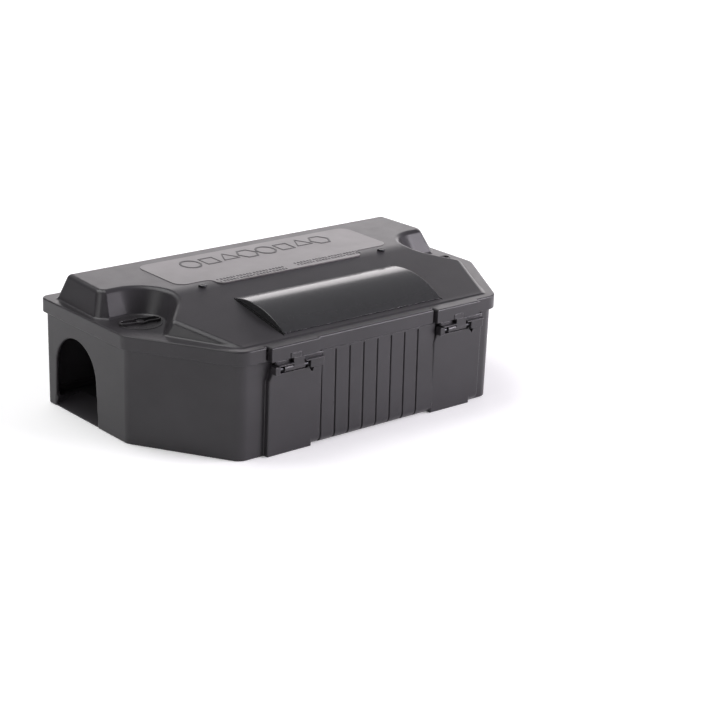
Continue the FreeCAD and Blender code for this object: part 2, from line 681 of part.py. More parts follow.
def make_card_holder():
    """A flat holder under the lid's top with a service card between its two rails. Its two
    screws come down through the lid."""
    under = "(flange_top + hump_height - break_drop - skin)"
    start = "-holder_half"
    long = "2 * holder_half"
    back_edge = "holder_front + holder_deep"
    plate = block("holder_plate", start, "holder_front", f"{under} - 2.2", long, "holder_deep", "1.4")
    front = block("holder_front_rail", start, "holder_front", f"{under} - 5.4", long, "1.6", "3.4")
    back = block("holder_back_rail", start, f"{back_edge} - 1.6", f"{under} - 5.4", long, "1.6", "3.4")
    lips = [
        block("holder_front_lip", start, "holder_front", f"{under} - 5.4", long, "4", "1"),
        block("holder_back_lip", start, f"{back_edge} - 4", f"{under} - 5.4", long, "4", "1"),
    ]
    ears = []
    holes = []
    screws = []
    for side, sign in (("left", "-"), ("right", "")):
        ears.append(rod(f"holder_ear_{side}", "3.5", "4.6", f"{sign}screw_x", "screw_y",
                        f"{under} - 5.4"))
        ears.append(block(f"holder_web_{side}", f"{sign}(holder_half + 6) - 8", "screw_y - 2",
                          f"{under} - 2.2", "16", "10", "1.4"))
        holes.append(rod(f"holder_hole_{side}", "1.4", "20", f"{sign}screw_x", "screw_y",
                         f"{under} - 10"))
        shank = rod(f"fix_shank_{side}", "1.4", "7.6", f"{sign}screw_x", "screw_y", f"{under} - 5")
        head = rod(f"fix_head_{side}", "2.9", "0.9", f"{sign}screw_x", "screw_y", f"{under} + 2.15")
        drive = block(f"fix_drive_{side}", f"{sign}screw_x - 3.5", "screw_y - 0.35",
                      f"{under} + 2.6", "7", "0.7", "2")
        screws.append(cut(f"fix_{side}", fuse(f"fix_both_{side}", [shank, head]), drive))
    body = fuse("holder_both", [plate, front, back] + lips + ears)
    piece(cut("holder_cut", body, fuse("holder_voids", holes)), "card_holder")
    pair = doc.addObject("Part::Compound", "fix_pair")
    pair.Links = screws
    piece(pair, "holder_screws")
    card = block("card", f"{start} + 10", "holder_front + 2.2", f"{under} - 3.9",
                 "2 * holder_half - 20", "holder_deep - 4.4", "0.8")
    piece(card, "service_card")


# ---- inside the base --------------------------------------------------------------------------

def make_baffles():
    """Upright plates behind the entrances, which turn the run towards the front."""
    low = "(floor_bottom + skin + 0.05)"
    for side, sign in (("left", "-1"), ("right", "1")):
        body = new_body(f"baffle_plate_{side}")
        plan = outline(body, f"baffle_side_{side}", "YZ_Plane", f"{sign} * baffle_x - skin / 2", [
            ("baffle_front", low),
            ("baffle_back", low),
            ("baffle_back", "rim_top - 6"),
            ("baffle_front + 12", "rim_top - 6"),
            ("baffle_front", "rim_top - 20"),
        ])
        pad(body, f"baffle_pad_{side}", plan, "skin")
        piece(body, f"baffle_{side}")


def make_tray():
    """The lift-out tray: a shallow box with cross walls and four sockets for the bait rods."""
    low = "(floor_bottom + skin + 0.4)"
    deep = "(tray_front - tray_back)"
    outer = block("tray_box", "-tray_half", "-tray_front", low, "2 * tray_half", deep, "tray_height")
    bays = [
        block(f"tray_bay_{i}", f"-tray_half + 2 + {i} * (tray_half / 2 - 0.5)", "-tray_front + 2",
              f"{low} + 2", "tray_half / 2 - 2.5", f"{deep} - 4", "tray_height")
        for i in range(4)
    ]
    sockets = []
    bores = []
    for i in range(4):
        x = f"-rod_first + {i} * rod_pitch"
        sockets.append(rod(f"socket_{i}", "4", "9", x, "-rod_y", f"{low} + 1"))
        bores.append(rod(f"socket_bore_{i}", "rod_radius + 0.3", "12", x, "-rod_y", f"{low} + 2"))
    body = fuse("tray_body", [cut("tray_hollow", outer, fuse("tray_bays", bays))] + sockets)
    grips = [
        block(f"tray_grip_{side}", x, "-tray_front + 18", f"{low} + 6", "4", f"{deep} - 36", "5")
        for side, x in (("left", "-tray_half - 1"), ("right", "tray_half - 3"))
    ]
    piece(cut("tray_cut", body, fuse("tray_bores", bores + grips)), "bait_tray")


def make_bait(i):
    """One bait rod with its handle loop and collar, and the two blocks on it."""
    low = "(floor_bottom + skin + 0.4 + 2.3)"
    x = f"-rod_first + {i} * rod_pitch"
    first = f"({low} + 9.2)"
    top = f"({first} + 2 * block_height + 3)"
    wire = rod(f"wire_{i}", "rod_radius", f"{top} - {low}", x, "-rod_y", low)
    collar = rod(f"collar_{i}", "4", "1.2", x, "-rod_y", f"{first} - 1.2")
    loop = doc.addObject("Part::Torus", f"loop_{i}")
    bind(loop, Radius1="4.2", Radius2="rod_radius")
    place(loop, x, "-rod_y", f"{top} + 4.2", (1, 0, 0), 90)
    piece(fuse(f"rod_whole_{i}", [wire, collar, loop]), f"bait_rod_{i + 1}")
    for j in range(2):
        base = f"({first} + {j} * (block_height + 0.2))"
        cube = block(f"cube_{i}_{j}", f"{x} - block_width / 2", "-rod_y - block_width / 2", base,
                     "block_width", "block_width", "block_height")
        hole = rod(f"cube_hole_{i}_{j}", "2.6", "block_height + 2", x, "-rod_y", f"{base} - 1")
        piece(cut(f"cube_cut_{i}_{j}", cube, hole), f"bait_block_{2 * i + j + 1}")


make_base()
make_keepers()
make_lid()
make_dome()
make_hinge_pins()
make_lock("left", "-")
make_lock("right", "")
make_card_holder()
make_baffles()
make_tray()
for rod_number in range(4):
    make_bait(rod_number)
doc.recompute()

for item in doc.Objects:
    if "Invalid" in item.State or "Error" in item.State:
        raise SystemExit(f"{item.Name} failed: {item.State}")
for item in pieces:
    if item.Shape.isNull() or not item.Shape.isValid() or item.Shape.Volume <= 0:
        raise SystemExit(f"{item.Label} has no sound shape")

os.makedirs("parts", exist_ok=True)
for item in pieces:
    item.Shape.exportStep(f"parts/{item.Label}.step")
    print(f"{item.Label}: {item.Shape.Volume / 1000:.2f} cm3, {len(item.Shape.Solids)} solids")
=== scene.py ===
import json
import math

import bpy
import numpy as np
from mathutils import Matrix, Vector


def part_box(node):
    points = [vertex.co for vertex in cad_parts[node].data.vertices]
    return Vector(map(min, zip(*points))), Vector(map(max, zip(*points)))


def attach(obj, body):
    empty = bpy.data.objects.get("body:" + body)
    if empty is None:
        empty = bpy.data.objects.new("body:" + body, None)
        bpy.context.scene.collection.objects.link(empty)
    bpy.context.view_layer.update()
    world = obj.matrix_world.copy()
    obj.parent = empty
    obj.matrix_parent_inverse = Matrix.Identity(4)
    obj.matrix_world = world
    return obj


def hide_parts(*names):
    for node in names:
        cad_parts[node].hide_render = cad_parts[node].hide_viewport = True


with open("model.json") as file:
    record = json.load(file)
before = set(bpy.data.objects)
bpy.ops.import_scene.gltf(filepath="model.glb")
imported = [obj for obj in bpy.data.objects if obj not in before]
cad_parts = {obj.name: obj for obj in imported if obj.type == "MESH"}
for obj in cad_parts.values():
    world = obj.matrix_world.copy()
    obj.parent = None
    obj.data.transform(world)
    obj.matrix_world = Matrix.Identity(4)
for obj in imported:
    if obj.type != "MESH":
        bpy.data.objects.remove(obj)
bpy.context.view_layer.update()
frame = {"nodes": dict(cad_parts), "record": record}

# A black moulded rodent bait station. The base, the lid and their small fittings are made here as
# smooth surfaces with their real roundings, from distance fields worked out in millimetres about
# the centre of the lid's flange: x along the length, y towards the back wall, z up from the ground.
# A field is negative inside. Blender's own units are metres.

MM = 0.001
LID_HIGH = np.array(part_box("lid_shell")[1]) / MM
HALF_DEPTH = 90.0
HALF_LENGTH = float(LID_HIGH[0])
CENTRE_Y = float(LID_HIGH[1]) - HALF_DEPTH
SKIN = 2.4

# Places where cuts and joins may end unseen: far outside, behind the front wall and in front of it.
BEYOND = 200.0
INSIDE_FRONT = -80.0
BEFORE_FRONT = -99.0

# ---- lid, mm ------------------------------------------------------------------------------------
CORNER_Y = -16.0
CORNER_ANGLE = math.radians(31.3)
BACK_ROUND = 7.0
FRONT_ROUND = 13.0
SHELF = 79.0
FLANGE_LOW = 68.8
FLANGE_ROUND = 1.0
FLANGE_SLOT, FLANGE_SLOT_BACK = 2.2, -87.6
LABEL_RISE = 0.3

# The hump's profile from front to back as (y, z), its ends as (x, z), and the slanting faces beside
# its front slope, which start at (x, y).
HUMP_TOP = float(LID_HIGH[2]) - LABEL_RISE
HUMP_BREAK = (1.5, HUMP_TOP - 0.8)
BREAK_WIDTH = 1.2
SLOPE_END = (-82.0, 79.6)
SLOPE_STEP, SLOPE_STEP_ROUND = 0.5, 0.4
BACK_EDGE = (74.8, HUMP_TOP)
BACK_FOOT = (79.0, SHELF)
END_EDGE = (145.7, HUMP_TOP)
END_FOOT = (152.7, SHELF)
END_TAPER = 0.05
WEDGE_FRONT = (112.4, -80.0)
WEDGE_TURN = math.radians(27.5)
WEDGE_LEAN = math.radians(26.0)
EDGE_ROUND = 2.5
FOOT_ROUND = 1.3

# The lock recesses, and the two screws with their seats and bosses.
LOCK_X = 134.8
LOCK_Y = 0.4
RECESS_RADIUS = 17.3
RECESS_LEAN = math.radians(31.0)
RECESS_EDGE = 2.3
RUNOUT_TURN = math.radians(52.0)
MOUTH_X, MOUTH_STEP = 148.5, 6.0
SCREW_X, SCREW_Y = 82.0, 1.4
SCREW_HOLE, SEAT_RADIUS, SEAT_DEPTH, SEAT_ROUND = 1.6, 3.1, 0.8, 0.15
BOSS_RADIUS, BOSS_TOP, BOSS_DEPTH = 3.5, 1.5, 3.7
INNER_ROUND = 0.5
SLOPE = (HUMP_BREAK[1] - SLOPE_END[1]) / (HUMP_BREAK[0] - SLOPE_END[0])
SLOPE_ANGLE = math.atan(SLOPE)

# ---- domed cover --------------------------------------------------------------------------------
DOME_HALF = 71.5
DOME_BACK = -22.0
DOME_FRONT = -78.5
DOME_RISE = 6.4
DOME_GAP = 1.1
DOME_SEAT = 2.2
DOME_WALL, DOME_ROUND = 1.6, 0.7
CHANNEL_DEPTH, CHANNEL_ROUND = 1.5, 0.2

# ---- hinges, with left and right measured from a hinge's middle ---------------------------------
HINGE_X = -73.65
HINGE_STEP = 148.1
HINGE_Y = -91.5
HINGE_Z = 62.3
STRETCH_LEFT, STRETCH_RIGHT = 19.6, 21.6
STRETCH_Y = -93.4
MIDDLE_Y = -91.2
BARREL_RADIUS, BARREL_HALF, BARREL_ROUND, PIN_BORE = 2.4, 8.8, 0.3, 1.28
NECK_FILLET, TAB_ROUND = 0.4, 0.4
LEDGE_LEFT, LEDGE_TOP = 14.5, 66.0

# Blocks at each hinge, as their low and high corners, and the corners of a pocket beside it.
TAB = (-3.7, -93.9, 69.0), (4.8, -92.0, 72.6)
NECK = (-1.4, -93.9, HINGE_Z), (7.8, -89.1, 69.4)
NECK_GAP = (-1.9, BEFORE_FRONT, HINGE_Z), (8.3, -88.0, 70.0)
WINDOW = (-12.9, BEFORE_FRONT, 58.8), (12.9, -87.9, 65.2)
LEDGE = (-LEDGE_LEFT, -94.9, 65.0), (24.9, -89.0, LEDGE_TOP)
HOLDER = (12.9, -94.4, 59.4), (24.4, -89.0, 65.2)
STUB = (-17.1, -94.4, 59.4), (-12.9, -89.0, 65.2)
POCKET = (13.6, 59.0), (17.0, 54.8), (18.8, 59.0)
POCKET_BACK = -88.6

# ---- locks: radii about the core's axis, and heights --------------------------------------------
CORE_HOLE = 11.9
CORE_TURN = math.radians(-7.0)
KEY_SLOT_HALF, KEY_SLOT_RADIUS = 11.6, 2.7
KEY_BULGE, KEY_FILLET = 4.4, 1.0
HEAD_RADIUS, HEAD_TOP, HEAD_ROUND = 15.4, 79.3, 0.25
HEAD_GAP = 0.02
STEM_RADIUS, STEM_LOW, STEM_TOP = 11.5, 71.3, 79.5
RING_GROOVE_RADIUS, RING_GROOVE_LOW, RING_GROOVE_TOP = 10.5, 74.7, 75.9
KEY_RIM, KEY_RIM_TOP, KEY_RIM_ROUND = 1.3, 81.3, 0.5
KEY_FLOOR, KEY_EDGE_ROUND = 75.4, 0.3
POST_RADIUS, POST_LOW, POST_TOP, POST_ROUND = 2.9, 75.0, 80.7, 0.8
POST_HOLE, POST_HOLE_TOP = 1.5, 77.8

# ---- base ---------------------------------------------------------------------------------------
WALL_INSET = 3.0
DRAFT = math.radians(0.6)
RIM, RIM_ROUND = 75.8, 0.6
UNDERSIDE = 4.0
FLOOR, FLOOR_ROUND = 7.4, 4.0
BOTTOM_ROUND = 6.5
SKIRT, SKIRT_TOP, SKIRT_ROUND = 3.2, 12.0, 0.8
SKIRT_GAP_X, SKIRT_GAP_Y = 55.0, -60.0
DOOR_Y, DOOR_Z, DOOR_RADIUS, DOOR_FLARE = 48.3, 31.9, 25.5, 1.6
DOOR_ROUND = 0.8
RAMP_BACK, RAMP_FRONT, RAMP_LOW = 136.0, 155.5, 0.9
CHEEK_IN, CHEEK_OUT = -0.3, 2.0
GROUND_GAP = 0.2
GROOVES = 8
GROOVE_FIRST, GROOVE_PITCH = -47.7, 12.5
GROOVE_HALF, GROOVE_DEPTH = 0.6, 0.9
GROOVE_STOP, GROOVE_ROUND = 1.6, 0.25
FRONT_INNER = -85.6

# The raised panel at each hinge, with left, right and foot measured from the hinge's middle.
PANEL_TOP = 68.2
PANEL_SHOULDER = 54.5
PANEL_Y, PANEL_LEAN = -91.0, 0.8
PANEL_LEFT, PANEL_RIGHT, PANEL_FOOT = 19.6, 26.4, 18.4
PANEL_ROUND, PANEL_FOOT_ROUND, PANEL_FILLET = 0.9, 0.6, 0.4

# The ribbed front between the panels, the anchor holes, and the rails that hold the baffles.
RIB_TOP_Y, RIB_FOOT_Y = -89.6, -90.8
RIB_LOW = 0.3
ANCHOR_X, ANCHOR_Y, ANCHOR_RADIUS = 125.0, -5.0, 2.75
BAFFLE_X = 108.0
RAIL_IN, RAIL_OUT = 1.3, 3.3
RAIL_FRONT, RAIL_BACK, RAIL_LOW, RAIL_TOP = 16.0, 82.0, 7.0, 12.4

# ---- label panel --------------------------------------------------------------------------------
LABEL_LEFT, LABEL_RIGHT, LABEL_FRONT, LABEL_BACK = -96.5, 97.0, 9.5, 63.5
APRON_LEFT, APRON_RIGHT, APRON_FRONT = -69.0, 62.0, -1.5
LABEL_CORNER, APRON_CORNER = 9.0, 5.3
LABEL_SUNK, LABEL_BEVEL, LABEL_BEVEL_WIDTH = 0.5, 0.12, 0.3
MARK_LOW, MARK_HIGH = LABEL_RISE - 0.1, LABEL_RISE + 0.2
FIGURES, FIGURE_FIRST, FIGURE_PITCH, FIGURE_Y = 8, -60.0, 17.0, 46.5
FIGURE_STRETCH, FIGURE_STROKE = 1.15, 1.5
FIGURE_ROUND, FIGURE_INNER_ROUND = 0.6, 0.4
TICK_PITCH, TICK_DEPTH, TICK_BEVEL = 2.9, 2.4, 0.2
TICK_WIDE, TICK_NARROW = 1.7, 0.9

# Each group of tick rows: where they start and end, and each row's place.
TICK_ROWS = (-66.0, -3.0, (0.6, 5.0)), (5.0, 66.0, (3.2, 7.2))


# ---- distance fields ----------------------------------------------------------------------------

def round_max(a, b, radius):
    """Intersection of two fields, with its convex edge rounded."""
    corner = np.hypot(np.maximum(a + radius, 0), np.maximum(b + radius, 0))
    return np.minimum(np.maximum(a, b), -radius) + corner


def round_min(a, b, radius):
    """Union of two fields, with a fillet in its concave edge."""
    return -round_max(-a, -b, radius)


def soft_max(a, b, width):
    """Intersection of two nearly parallel surfaces, blended where they differ by less than width."""
    return np.maximum(a, b) + np.maximum(width - np.abs(a - b), 0) ** 2 / (4 * width)


def line(u, v, start, end):
    """Signed distance to a line, positive on its left."""
    run, rise = end[0] - start[0], end[1] - start[1]
    return ((v - start[1]) * run - (u - start[0]) * rise) / math.hypot(run, rise)


def between(u, low, high):
    """Distance outside the stretch from low to high."""
    return np.abs(u - (low + high) / 2) - (high - low) / 2


def rectangle(u, v, low_u, high_u, low_v, high_v):
    """A rectangle with square corners."""
    return np.maximum(between(u, low_u, high_u), between(v, low_v, high_v))


def block(x, y, z, low, high, edge=0.3):
    """A box with rounded edges."""
    long, deep, tall = [between(*side) for side in zip((x, y, z), low, high)]
    return round_max(round_max(long, deep, edge), tall, edge)


def hinge_block(x, y, z, centre, corners, edge=0.3):
    """One of the blocks at a hinge, whose middle is at centre."""
    low, high = corners
    return block(x, y, z, (centre + low[0], *low[1:]), (centre + high[0], *high[1:]), edge)


def polygon(u, v, corners):
    """Signed distance to a polygon, negative inside."""
    nearest = np.full(np.broadcast(u, v).shape, np.inf, np.float32)
    inside = np.zeros(nearest.shape, bool)
    for (au, av), (bu, bv) in zip(corners, corners[1:] + corners[:1]):
        run, rise = bu - au, bv - av
        along = np.clip(((u - au) * run + (v - av) * rise) / (run * run + rise * rise), 0, 1)
        nearest = np.minimum(nearest, (u - au - run * along) ** 2 + (v - av - rise * along) ** 2)
        if rise != 0:
            inside ^= ((av > v) != (bv > v)) & (u < run * (v - av) / rise + au)
    reach = np.sqrt(nearest)
    return np.where(inside, -reach, reach)


def rounded_polygon(u, v, corners, radius):
    """A convex polygon, its corners given anticlockwise, with every corner rounded."""
    moved = []
    for i, here in enumerate(corners):
        before, after = corners[i - 1], corners[(i + 1) % len(corners)]
        into = np.array(here) - np.array(before)
        out = np.array(after) - np.array(here)
        into /= np.hypot(*into)
        out /= np.hypot(*out)
        half = math.atan2(into[0] * out[1] - into[1] * out[0], into @ out) / 2
        inward = np.array([-(into + out)[1], (into + out)[0]])
        inward /= np.hypot(*inward)
        moved.append(tuple(np.array(here) + inward * radius / math.cos(half)))
    return polygon(u, v, moved) - radius


def footprint(x, y, inset=0.0):
    """The station's plan, stepped in: square back corners and diagonal front ones."""
    nose = HALF_LENGTH - (HALF_DEPTH + CORNER_Y) * math.tan(CORNER_ANGLE)
    front = [
        (HALF_LENGTH, BEYOND), (-HALF_LENGTH, BEYOND), (-HALF_LENGTH, CORNER_Y),
        (-nose, -HALF_DEPTH), (nose, -HALF_DEPTH), (HALF_LENGTH, CORNER_Y),
    ]
    back = [
        (HALF_LENGTH, HALF_DEPTH), (-HALF_LENGTH, HALF_DEPTH),
        (-HALF_LENGTH, -BEYOND), (HALF_LENGTH, -BEYOND),
    ]
    whole = np.maximum(
        rounded_polygon(x, y, front, FRONT_ROUND), rounded_polygon(x, y, back, BACK_ROUND)
    )
    return whole + inset


def hinge_places():
    """The middles of the two hinges."""
    return [HINGE_X, HINGE_X + HINGE_STEP]


# ---- lid ----------------------------------------------------------------------------------------

def recess_plan(side_x, y):
    """A lock recess in plan: round at its back, running out tangentially in front and at the end."""
    tangent = (
        LOCK_X - RECESS_RADIUS * math.sin(RUNOUT_TURN),
        LOCK_Y - RECESS_RADIUS * math.cos(RUNOUT_TURN),
    )
    reach = 60.0
    far = (
        tangent[0] + reach * math.cos(RUNOUT_TURN),
        tangent[1] - reach * math.sin(RUNOUT_TURN),
    )
    back = LOCK_Y + RECESS_RADIUS
    mouth = back + MOUTH_STEP
    run = [
        tangent, far, (BEYOND, far[1]), (BEYOND, mouth),
        (MOUTH_X + MOUTH_STEP, mouth), (MOUTH_X, back), (LOCK_X, back),
    ]
    well = np.hypot(side_x - LOCK_X, y - LOCK_Y) - RECESS_RADIUS
    return np.minimum(well, polygon(side_x, y, run))


def recess(x, y, z):
    """Both lock recesses, their walls leaning back."""
    plan = recess_plan(np.abs(x), y)
    return (plan - (z - SHELF) * math.tan(RECESS_LEAN)) * math.cos(RECESS_LEAN)


def hump(x, y, z):
    """The raised part of the lid, without its recesses."""
    side_x = np.abs(x)
    top = soft_max(line(y, z, HUMP_BREAK, BACK_EDGE), line(y, z, SLOPE_END, HUMP_BREAK), BREAK_WIDTH)
    edge = (WEDGE_FRONT[0] + math.sin(WEDGE_TURN), WEDGE_FRONT[1] + math.cos(WEDGE_TURN))
    wedge = line(side_x, y, edge, WEDGE_FRONT) * math.cos(WEDGE_LEAN)
    wedge = wedge + (z - SHELF) * math.sin(WEDGE_LEAN)
    front_foot = SLOPE_END[0] - SLOPE_STEP
    body = round_max(top, line(y, z, BACK_EDGE, BACK_FOOT), EDGE_ROUND)
    end = line(side_x + END_TAPER * (y - BACK_EDGE[0]), z, END_EDGE, END_FOOT)
    body = round_max(body, end, EDGE_ROUND)
    body = round_max(body, wedge, EDGE_ROUND)
    return round_max(body, front_foot - y, SLOPE_STEP_ROUND)


def flange_plan(x, y):
    """The flange with its thicker stretches over the hinges and between them."""
    plan = footprint(x, y)
    for centre in hinge_places():
        left, right = centre - STRETCH_LEFT, centre + STRETCH_RIGHT
        plan = np.minimum(plan, rectangle(x, y, left, right, STRETCH_Y, INSIDE_FRONT))
    overlap = 0.5
    start, end = HINGE_X + STRETCH_RIGHT - overlap, HINGE_X + HINGE_STEP - STRETCH_LEFT + overlap
    plan = np.minimum(plan, rectangle(x, y, start, end, MIDDLE_Y, INSIDE_FRONT))
    for centre in hinge_places():
        left = centre - STRETCH_LEFT
        slot = rectangle(x, y, left - FLANGE_SLOT, left, BEFORE_FRONT, FLANGE_SLOT_BACK)
        plan = np.maximum(plan, -slot)
    return plan


def lid_skin(plan, x, y, z):
    """The lid's outside, going on down without an end."""
    slab = round_max(plan, z - SHELF, FLANGE_ROUND)
    raised = round_max(hump(x, y, z), -recess(x, y, z), RECESS_EDGE)
    return round_min(slab, raised, FOOT_ROUND)


def dome_seat(x, y, z):
    """The window in the lid under the domed cover, and the channel round the cover's edge."""
    half = DOME_HALF - DOME_SEAT
    window = rectangle(x, y, -half, half, DOME_FRONT + DOME_SEAT, DOME_BACK - DOME_SEAT)
    lap = 0.3
    beside = np.maximum(between(np.abs(x), DOME_HALF - lap, DOME_HALF + DOME_GAP),
                        between(y, DOME_FRONT, DOME_BACK + lap))
    channel = np.maximum(beside, -line(y, z, SLOPE_END, HUMP_BREAK) - CHANNEL_DEPTH)
    return window, channel


def lid_field(x, y, z):
    """The lid's shell with its openings, the screws' seats and the tabs over the hinges."""
    shell = lid_skin(flange_plan(x, y), x, y, z)
    hollow = lid_skin(footprint(x, y), x, y, z) + SKIN
    shell = round_max(shell, -hollow, INNER_ROUND)
    shell = round_max(shell, FLANGE_LOW - z, INNER_ROUND)
    window, channel = dome_seat(x, y, z)
    shell = np.maximum(shell, -window)
    shell = round_max(shell, -channel, CHANNEL_ROUND)
    side_x = np.abs(x)
    core_hole = np.hypot(side_x - LOCK_X, y - LOCK_Y) - CORE_HOLE
    shell = np.maximum(shell, -core_hole)
    from_screw = np.hypot(side_x - SCREW_X, y - SCREW_Y)
    seat = np.maximum(from_screw - SEAT_RADIUS, HUMP_TOP - SEAT_DEPTH - z)
    boss = between(z, HUMP_TOP - BOSS_DEPTH, HUMP_TOP - BOSS_TOP)
    shell = np.minimum(shell, np.maximum(from_screw - BOSS_RADIUS, boss))
    for centre in hinge_places():
        shell = np.minimum(shell, hinge_block(x, y, z, centre, TAB, TAB_ROUND))
    shell = round_max(shell, -seat, SEAT_ROUND)
    return np.maximum(shell, SCREW_HOLE - from_screw)


def lid_hinge_field(centre):
    """One barrel under the lid's flange, with its neck and the bore for the pin."""
    def field(x, y, z):
        across = np.hypot(y - HINGE_Y, z - HINGE_Z)
        ends = between(x, centre - BARREL_HALF, centre + BARREL_HALF)
        barrel = round_max(across - BARREL_RADIUS, ends, BARREL_ROUND)
        neck = hinge_block(x, y, z, centre, NECK)
        return np.maximum(round_min(barrel, neck, NECK_FILLET), PIN_BORE - across)
    return field


def dome_field(x, y, z):
    """A thin shell: a shallow cylinder over the slope, closed at both ends."""
    middle_y = (DOME_BACK + DOME_FRONT) / 2
    middle_z = SLOPE_END[1] + (middle_y - SLOPE_END[0]) * SLOPE
    along = (y - middle_y) * math.cos(SLOPE_ANGLE) + (z - middle_z) * math.sin(SLOPE_ANGLE)
    over = (z - middle_z) * math.cos(SLOPE_ANGLE) - (y - middle_y) * math.sin(SLOPE_ANGLE)
    chord = (DOME_BACK - DOME_FRONT) / math.cos(SLOPE_ANGLE)
    radius = (chord ** 2 / 4 + DOME_RISE ** 2) / (2 * DOME_RISE)
    barrel = np.hypot(along, over + radius - DOME_RISE) - radius
    play = 0.1
    outside = round_max(barrel, np.abs(x) - DOME_HALF + play, DOME_ROUND)
    inside = np.maximum(barrel + DOME_WALL, np.abs(x) - DOME_HALF + play + DOME_WALL)
    return np.maximum(np.maximum(outside, -inside), play / 2 - over)


def lock_field(side):
    """A lock's core: a flat head with a raised rim round its key slot, a post in the middle of the
    slot, and the stem under the lid with its groove for the ring."""
    def field(x, y, z):
        from_x, from_y = x - side * LOCK_X, y - LOCK_Y
        u = from_x * math.cos(CORE_TURN) + from_y * math.sin(CORE_TURN)
        v = from_y * math.cos(CORE_TURN) - from_x * math.sin(CORE_TURN)
        out = np.hypot(u, v)
        slot = np.hypot(np.maximum(np.abs(u) - KEY_SLOT_HALF, 0), v) - KEY_SLOT_RADIUS
        slot = round_min(slot, out - KEY_BULGE, KEY_FILLET)
        head = round_max(out - HEAD_RADIUS, z - HEAD_TOP, HEAD_ROUND)
        head = np.maximum(head, SHELF + HEAD_GAP - z)
        stem = np.maximum(out - STEM_RADIUS, between(z, STEM_LOW, STEM_TOP))
        ring_side = between(z, RING_GROOVE_LOW, RING_GROOVE_TOP)
        stem = np.maximum(stem, -np.maximum(RING_GROOVE_RADIUS - out, ring_side))
        lap = 0.1
        rim_side = between(z, HEAD_TOP - lap, KEY_RIM_TOP)
        rim = round_max(between(slot, -lap, KEY_RIM), rim_side, KEY_RIM_ROUND)
        core = np.minimum(np.minimum(head, stem), rim)
        core = round_max(core, -np.maximum(slot + lap, KEY_FLOOR - z), KEY_EDGE_ROUND)
        post = round_max(out - POST_RADIUS, between(z, POST_LOW, POST_TOP), POST_ROUND)
        core = np.minimum(core, post)
        return np.maximum(core, -np.maximum(out - POST_HOLE, z - POST_HOLE_TOP))
    return field


# ---- base ---------------------------------------------------------------------------------------

def hinge_panel(body, x, y, z, centre):
    """Adds the raised panel under one hinge to the base: its ledge, the block and the stub that
    hold the pin, the window for the lid's barrel and the gap for its neck."""
    left, right = centre - PANEL_LEFT, centre + PANEL_RIGHT
    under = -9.0
    shape = polygon(x, z, [
        (left, under), (right, under), (right, PANEL_TOP), (centre - LEDGE_LEFT, PANEL_TOP),
        (centre - LEDGE_LEFT, LEDGE_TOP), (left, PANEL_SHOULDER),
    ])
    front = PANEL_Y + PANEL_LEAN * (PANEL_TOP - z) / PANEL_TOP - y
    foot = round_max(np.maximum(shape, x - centre - PANEL_FOOT), -z, PANEL_FOOT_ROUND)
    foot = round_max(foot, front, PANEL_ROUND)
    rest = round_max(round_max(front, RIB_LOW - z, BOTTOM_ROUND), shape, PANEL_ROUND)
    panel = np.maximum(np.minimum(foot, rest), y - FRONT_INNER)
    body = round_min(body, panel, PANEL_FILLET)
    pocket = polygon(x, z, [(centre + from_x, height) for from_x, height in POCKET])
    pocket = np.maximum(pocket, y - POCKET_BACK)
    body = np.maximum(np.maximum(body, -hinge_block(x, y, z, centre, WINDOW)), -pocket)
    for solid in (LEDGE, HOLDER, STUB):
        body = np.minimum(body, hinge_block(x, y, z, centre, solid))
    return np.maximum(body, -hinge_block(x, y, z, centre, NECK_GAP))


def ribs(x, y, z):
    """The raised front between the hinge panels, leaning out a little towards its rounded foot:
    the whole of it, and its outer face alone."""
    lean = (RIB_TOP_Y - RIB_FOOT_Y) / PANEL_TOP
    face = round_max(RIB_FOOT_Y + lean * z - y, RIB_LOW - z, BOTTOM_ROUND)
    overlap = 1.0
    left = HINGE_X + PANEL_RIGHT - overlap
    right = HINGE_X + HINGE_STEP - PANEL_LEFT + overlap
    whole = np.maximum(face, between(x, left, right))
    whole = np.maximum(whole, np.maximum(z - PANEL_TOP, y - FRONT_INNER))
    return whole, face


def grooves(x, y, z, face):
    """The upright grooves between the ribs, cut to an even depth into their outer face."""
    number = np.clip(np.round((x - GROOVE_FIRST) / GROOVE_PITCH), 0, GROOVES - 1)
    across = np.abs(x - GROOVE_FIRST - number * GROOVE_PITCH) - GROOVE_HALF
    length = z - PANEL_TOP + GROOVE_STOP
    depth = np.maximum(y - INSIDE_FRONT, -(face + GROOVE_DEPTH))
    return np.maximum(np.maximum(across, length), depth)


def entrances(side_x, y, z):
    """The arched entrance through each end wall, and the ramp with its cheeks on its floor."""
    leg = np.abs(y - DOOR_Y) - DOOR_RADIUS - DOOR_FLARE * (DOOR_Z - z) / DOOR_Z
    arch = np.hypot(y - DOOR_Y, z - DOOR_Z) - DOOR_RADIUS
    door = np.where(z < DOOR_Z, leg, arch)
    top = RAMP_LOW + (RAMP_FRONT - side_x) * (FLOOR - RAMP_LOW) / (RAMP_FRONT - RAMP_BACK)
    ramp = np.maximum(between(side_x, RAMP_BACK - 0.5, RAMP_FRONT), between(z, top - SKIN, top))
    cheek = np.maximum(between(door, CHEEK_IN, CHEEK_OUT), side_x - RAMP_FRONT)
    cheek = np.maximum(cheek, np.maximum(z - FLOOR, RAMP_BACK - side_x))
    ramp = np.minimum(np.maximum(ramp, door), cheek)
    return np.maximum(door, RAMP_BACK - side_x), np.maximum(ramp, GROUND_GAP - z)


